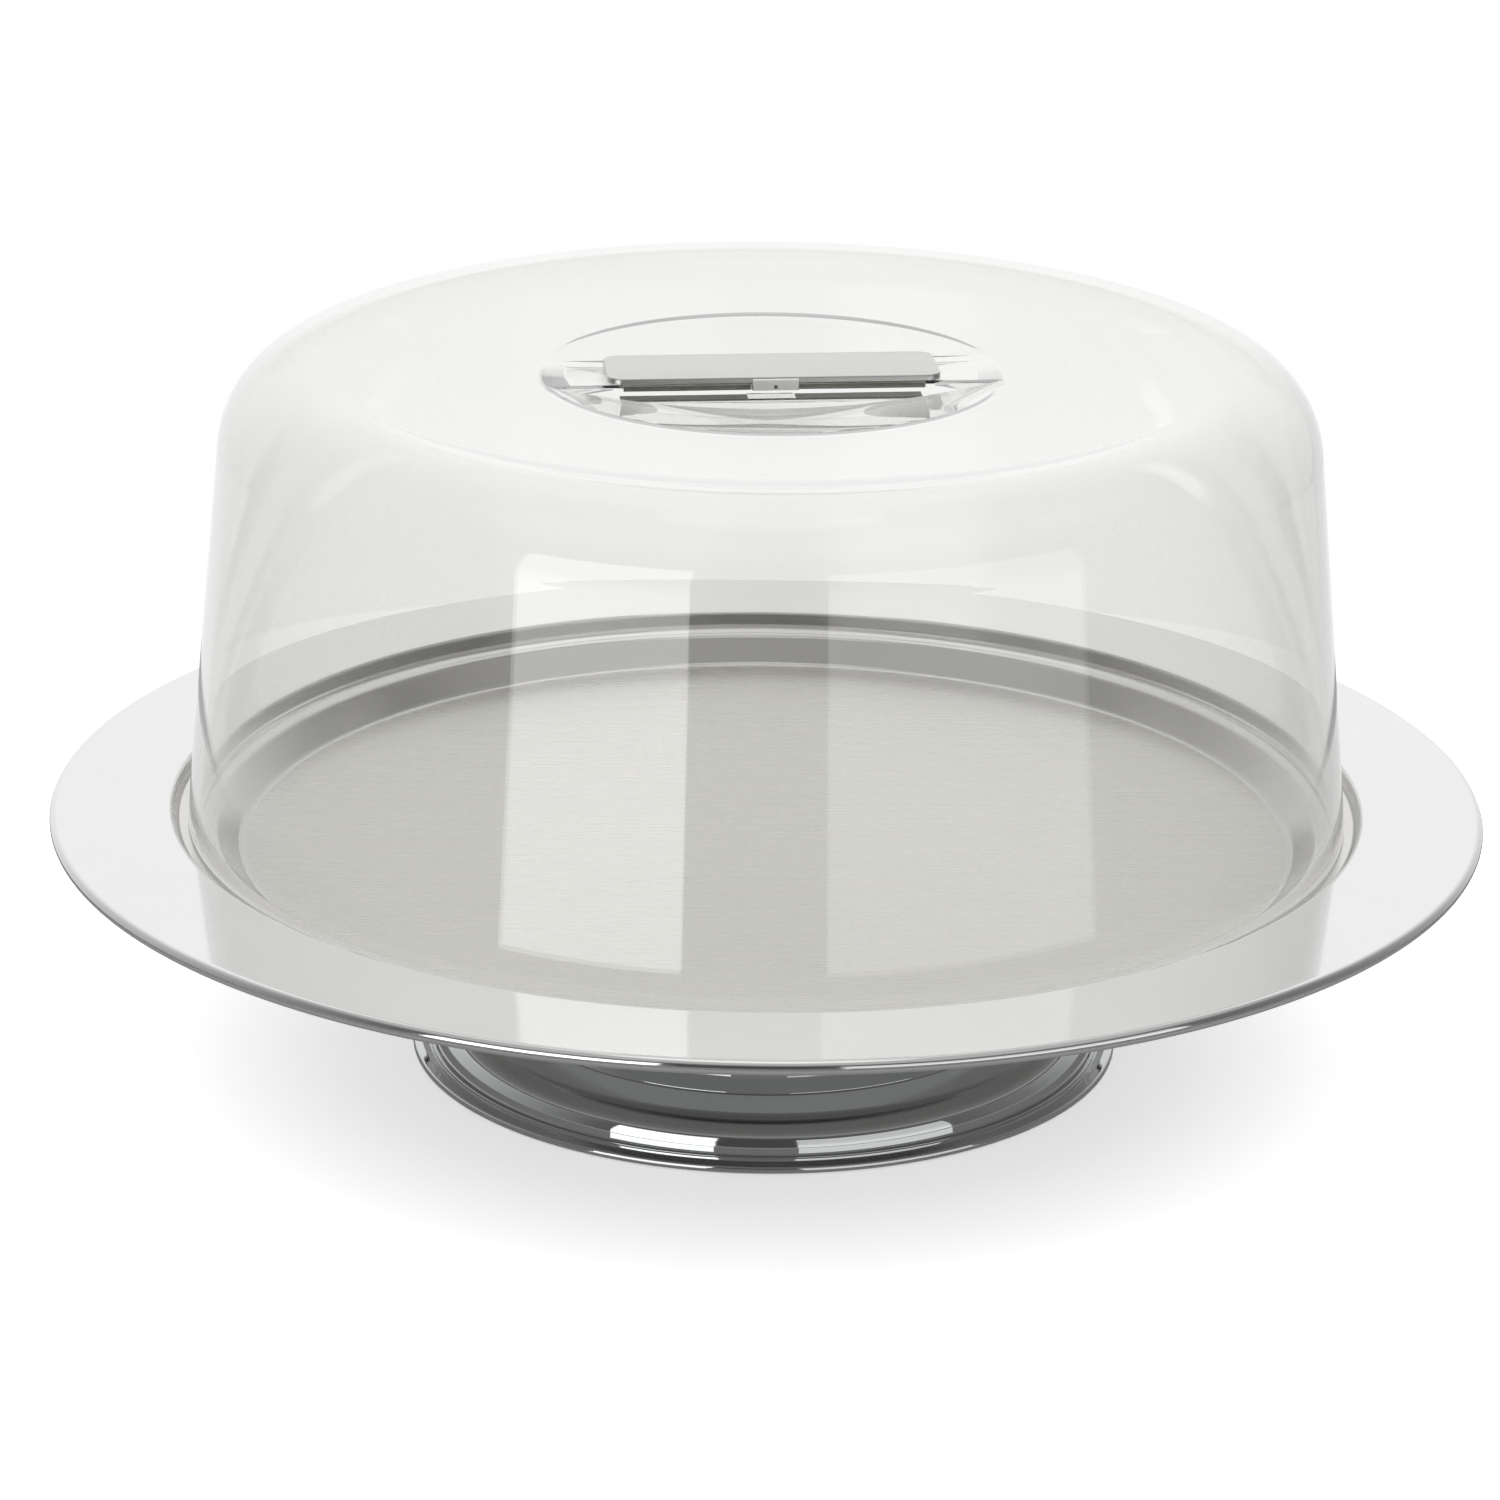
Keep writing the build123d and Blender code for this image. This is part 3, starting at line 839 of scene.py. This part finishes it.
def glow(name, level, reflections):
    """A glow that only the first to the last of these reflections see."""
    material, tree, shader = finish_of(name)
    tree.nodes.remove(shader)
    light = add(tree, "ShaderNodeEmission", None, {"Color": (1, 1, 1, 1), "Strength": level})
    seen_in_mirrors(tree, light, *reflections)
    material.cycles.emission_sampling = "NONE"
    return material


def mirrored_only(piece):
    """Keep a stage piece out of direct view, of diffuse light and of shadows."""
    piece.visible_camera = False
    piece.visible_diffuse = False
    piece.visible_shadow = False


def sector(name, points, left, right_edge, level, reflections):
    """A line turned between two bearings from the camera's side, in degrees, which glows."""
    piece = trace(name, points)
    bpy.ops.mesh.select_all(action="SELECT")
    start = math.radians(left) - math.pi / 2 - look_turn
    bpy.ops.transform.rotate(value=-start, orient_axis="Z", center_override=(0, 0, 0))
    sweep = math.radians(left - right_edge)
    bpy.ops.mesh.spin(steps=sector_steps, angle=sweep, center=(0, 0, 0), axis=(0, 0, 1))
    bpy.ops.object.mode_set(mode="OBJECT")
    piece.data.materials.append(glow(name + "_light", level, reflections))
    mirrored_only(piece)
    print(name, "between bearings", left, right_edge)
    return piece


def panel(name, left, right_edge, low, high, level, distance=3.0, reflections=(1, 1)):
    """A glowing part of a sphere between two heights in degrees, at a distance in metres."""
    heights = [math.radians(low + (high - low) * i / panel_steps) for i in range(panel_steps + 1)]
    points = [(distance / MM * math.cos(h), distance / MM * math.sin(h)) for h in heights]
    return sector(name, points, left, right_edge, level, reflections)


def glow_input(piece, socket):
    """The piece's nodes and a socket of its glow."""
    tree = piece.data.materials[0].node_tree
    glowing = next(node for node in tree.nodes if node.type == "EMISSION")
    return tree, glowing.inputs[socket]


def height_run(tree, low, high, at_low, at_high):
    """A value that runs between two heights in metres."""
    place = add(tree, "ShaderNodeTexCoord").outputs["Object"]
    height = add(tree, "ShaderNodeSeparateXYZ", {"Vector": place}).outputs["Z"]
    return between(tree, height, at_low, at_high, low, high)


# %% Windows
window_bottom, again_top = -16, 40
fade_start, fade_end, faded = -0.2, 0.6, 0.6
for name, left, right_edge, top, level in (
    ("left_window", -50.4, -15.3, 27, 2.7),
    ("right_window", 11.3, 64, 25, 1.2),
):
    window = panel(name, left, right_edge, window_bottom, top, level)
    tree, strength = glow_input(window, "Strength")
    tree.links.new(height_run(tree, fade_start, fade_end, level, level * faded), strength)
    panel(name + "_again", left, right_edge, top, again_top, level, reflections=(2, 2))

# %% Shade the wall by its bearing
wall_low, wall_high, wall_distance, again_distance, every_later = -60, 78, 4.0, 4.1, 99
brighter_from, brightest_at = 1.9, 3.2


def shade_by_bearing(piece, levels, above):
    """Grey levels at bearings in degrees, and the least level of the wall's upper part."""
    tree, strength = glow_input(piece, "Strength")
    place = add(tree, "ShaderNodeTexCoord").outputs["Object"]
    faced = add(tree, "ShaderNodeMapping", {"Vector": place}, {"Rotation": (0, 0, math.pi / 2 + look_turn)})
    bearing = add(tree, "ShaderNodeTexGradient", {"Vector": faced.outputs[0]}, gradient_type="RADIAL")
    grey = greys(tree, bearing.outputs["Fac"], [(0.5 + angle / 360, level) for angle, level in levels])
    upper = height_run(tree, brighter_from, brightest_at, 0.0, above)
    most = add(tree, "ShaderNodeMath", {0: grey, 1: upper}, operation="MAXIMUM")
    tree.links.new(most.outputs[0], strength)


left_side = [(-180, 1.0), (-168, 1.0), (-150, 0.9), (-125, 0.62), (-90, 0.36)]
right_side = [(100, 0.22), (125, 0.40), (150, 0.8), (168, 1.0)]
front = [(-60, 0.16), (-49, 0.10), (-15, 0.08), (11, 0.08), (75, 0.16)]
front_again = [(-60, 0.25), (75, 0.25)]
wall = panel("studio_wall", -180, 180, wall_low, wall_high, 1.0, wall_distance)
shade_by_bearing(wall, left_side + front + right_side, 0.5)
wall_again = panel(
    "studio_wall_again", -180, 180, wall_low, wall_high, 1.0, again_distance, reflections=(2, every_later)
)
shade_by_bearing(wall_again, left_side + front_again + right_side, 0.25)

# %% [markdown]
# A soft lamp above gives the shadow its direction. The table is a pale disc. Where the camera
# sees it directly, a little light of its own lifts it to the white of the background. That glow is
# strongest under the plate and fades out beyond it: painted light that fills most of the plate's
# shadow, so that only the foot's soft shadow stays.

# %% Lamp
lamp_place, lamp_tilt = (-0.4, -0.5, 2.2), (-0.22, -0.18, 0)
free_hands()
bpy.ops.object.light_add(type="AREA", radius=1.0, location=lamp_place, rotation=lamp_tilt)
lamp = bpy.context.object
lamp.name = "soft_lamp"
lamp.data.shape = "DISK"
lamp.data.size = 1.6
lamp.data.energy = 7
lamp.visible_glossy = False
lamp.visible_transmission = False
lamp.visible_camera = False
print("lamp:", lamp.data.energy, "W over", round(lamp.data.size, 2), "m")

# %% Table
table_radius = 0.40
bpy.ops.mesh.primitive_circle_add(vertices=128, radius=table_radius, fill_type="NGON")
table = bpy.context.object
table.name = "pale_table"
table_finish, tree, shader = finish_of("pale_table_finish", Roughness=0.9, IOR=1.2)
plug(tree, shader, Base_Color=shades(tree, pattern(tree, 3), (0.93, 0.93, 0.93), (0.95, 0.95, 0.95)))
path = add(tree, "ShaderNodeLightPath")
depths = {0: path.outputs["Glossy Depth"], 1: path.outputs["Diffuse Depth"]}
bounces = add(tree, "ShaderNodeMath", depths, operation="ADD")
direct = add(tree, "ShaderNodeMath", {0: bounces.outputs[0]}, {1: 0.5}, operation="LESS_THAN")
# Painted light: the glow is 0.50 by the foot, 0.61 under the plate's edge and 0.08 at 0.36 m, filling the
# plate's shadow.
plate_shadow_fill = greys(tree, from_axis(tree), [(0.11, 0.50), (0.17, 0.61), (0.22, 0.58), (0.36, 0.08)])
lift = add(tree, "ShaderNodeMath", {0: direct.outputs[0], 1: plate_shadow_fill}, operation="MULTIPLY")
shader.inputs["Emission Color"].default_value = (1, 1, 1, 1)
tree.links.new(lift.outputs[0], shader.inputs["Emission Strength"])
table.data.materials.append(table_finish)
print("table radius in m:", table_radius)

# %% [markdown]
# Close to the foot the table lies in the plate's shade, and the polished drum and shoulder
# draw it as an even dark grey. A flat card that only reflections see glows with that grey, a
# painted shade, darker under the plate and lighter beyond its edge. Two small glowing gleams on
# it are painted reflections of the windows that a glossy table shows right at the foot. Each
# turns up at its outer edge to the height where the shoulder looks level, so that it joins the
# window above it.

# %% Card round the foot
card_inner, card_outer, card_height = 97.0, 400.0, 0.3
card_line = [(card_inner, card_height), (card_outer, card_height)]
card = sector("floor_card", card_line, -180, 180, 1.0, (1, every_later))
tree, strength = glow_input(card, "Strength")
# Painted shade: the card glows at 0.20 under the plate and 0.40 beyond its edge.
card_shade, card_light, shade_edge, light_edge = 0.20, 0.40, 0.15, 0.30
tree.links.new(between(tree, from_axis(tree), card_shade, card_light, shade_edge, light_edge), strength)
gleam_outer, gleam_height, gleam_top = 101.0, 0.5, 4.7
gleam = [(card_inner, gleam_height), (gleam_outer, gleam_height), (gleam_outer, gleam_top)]
# The gleams are painted reflections of the windows on a glossy table.
sector("left_gleam", gleam, -29, -9, 1.5, (1, 1))
sector("right_gleam", gleam, 6.5, 37, 0.85, (1, 1))
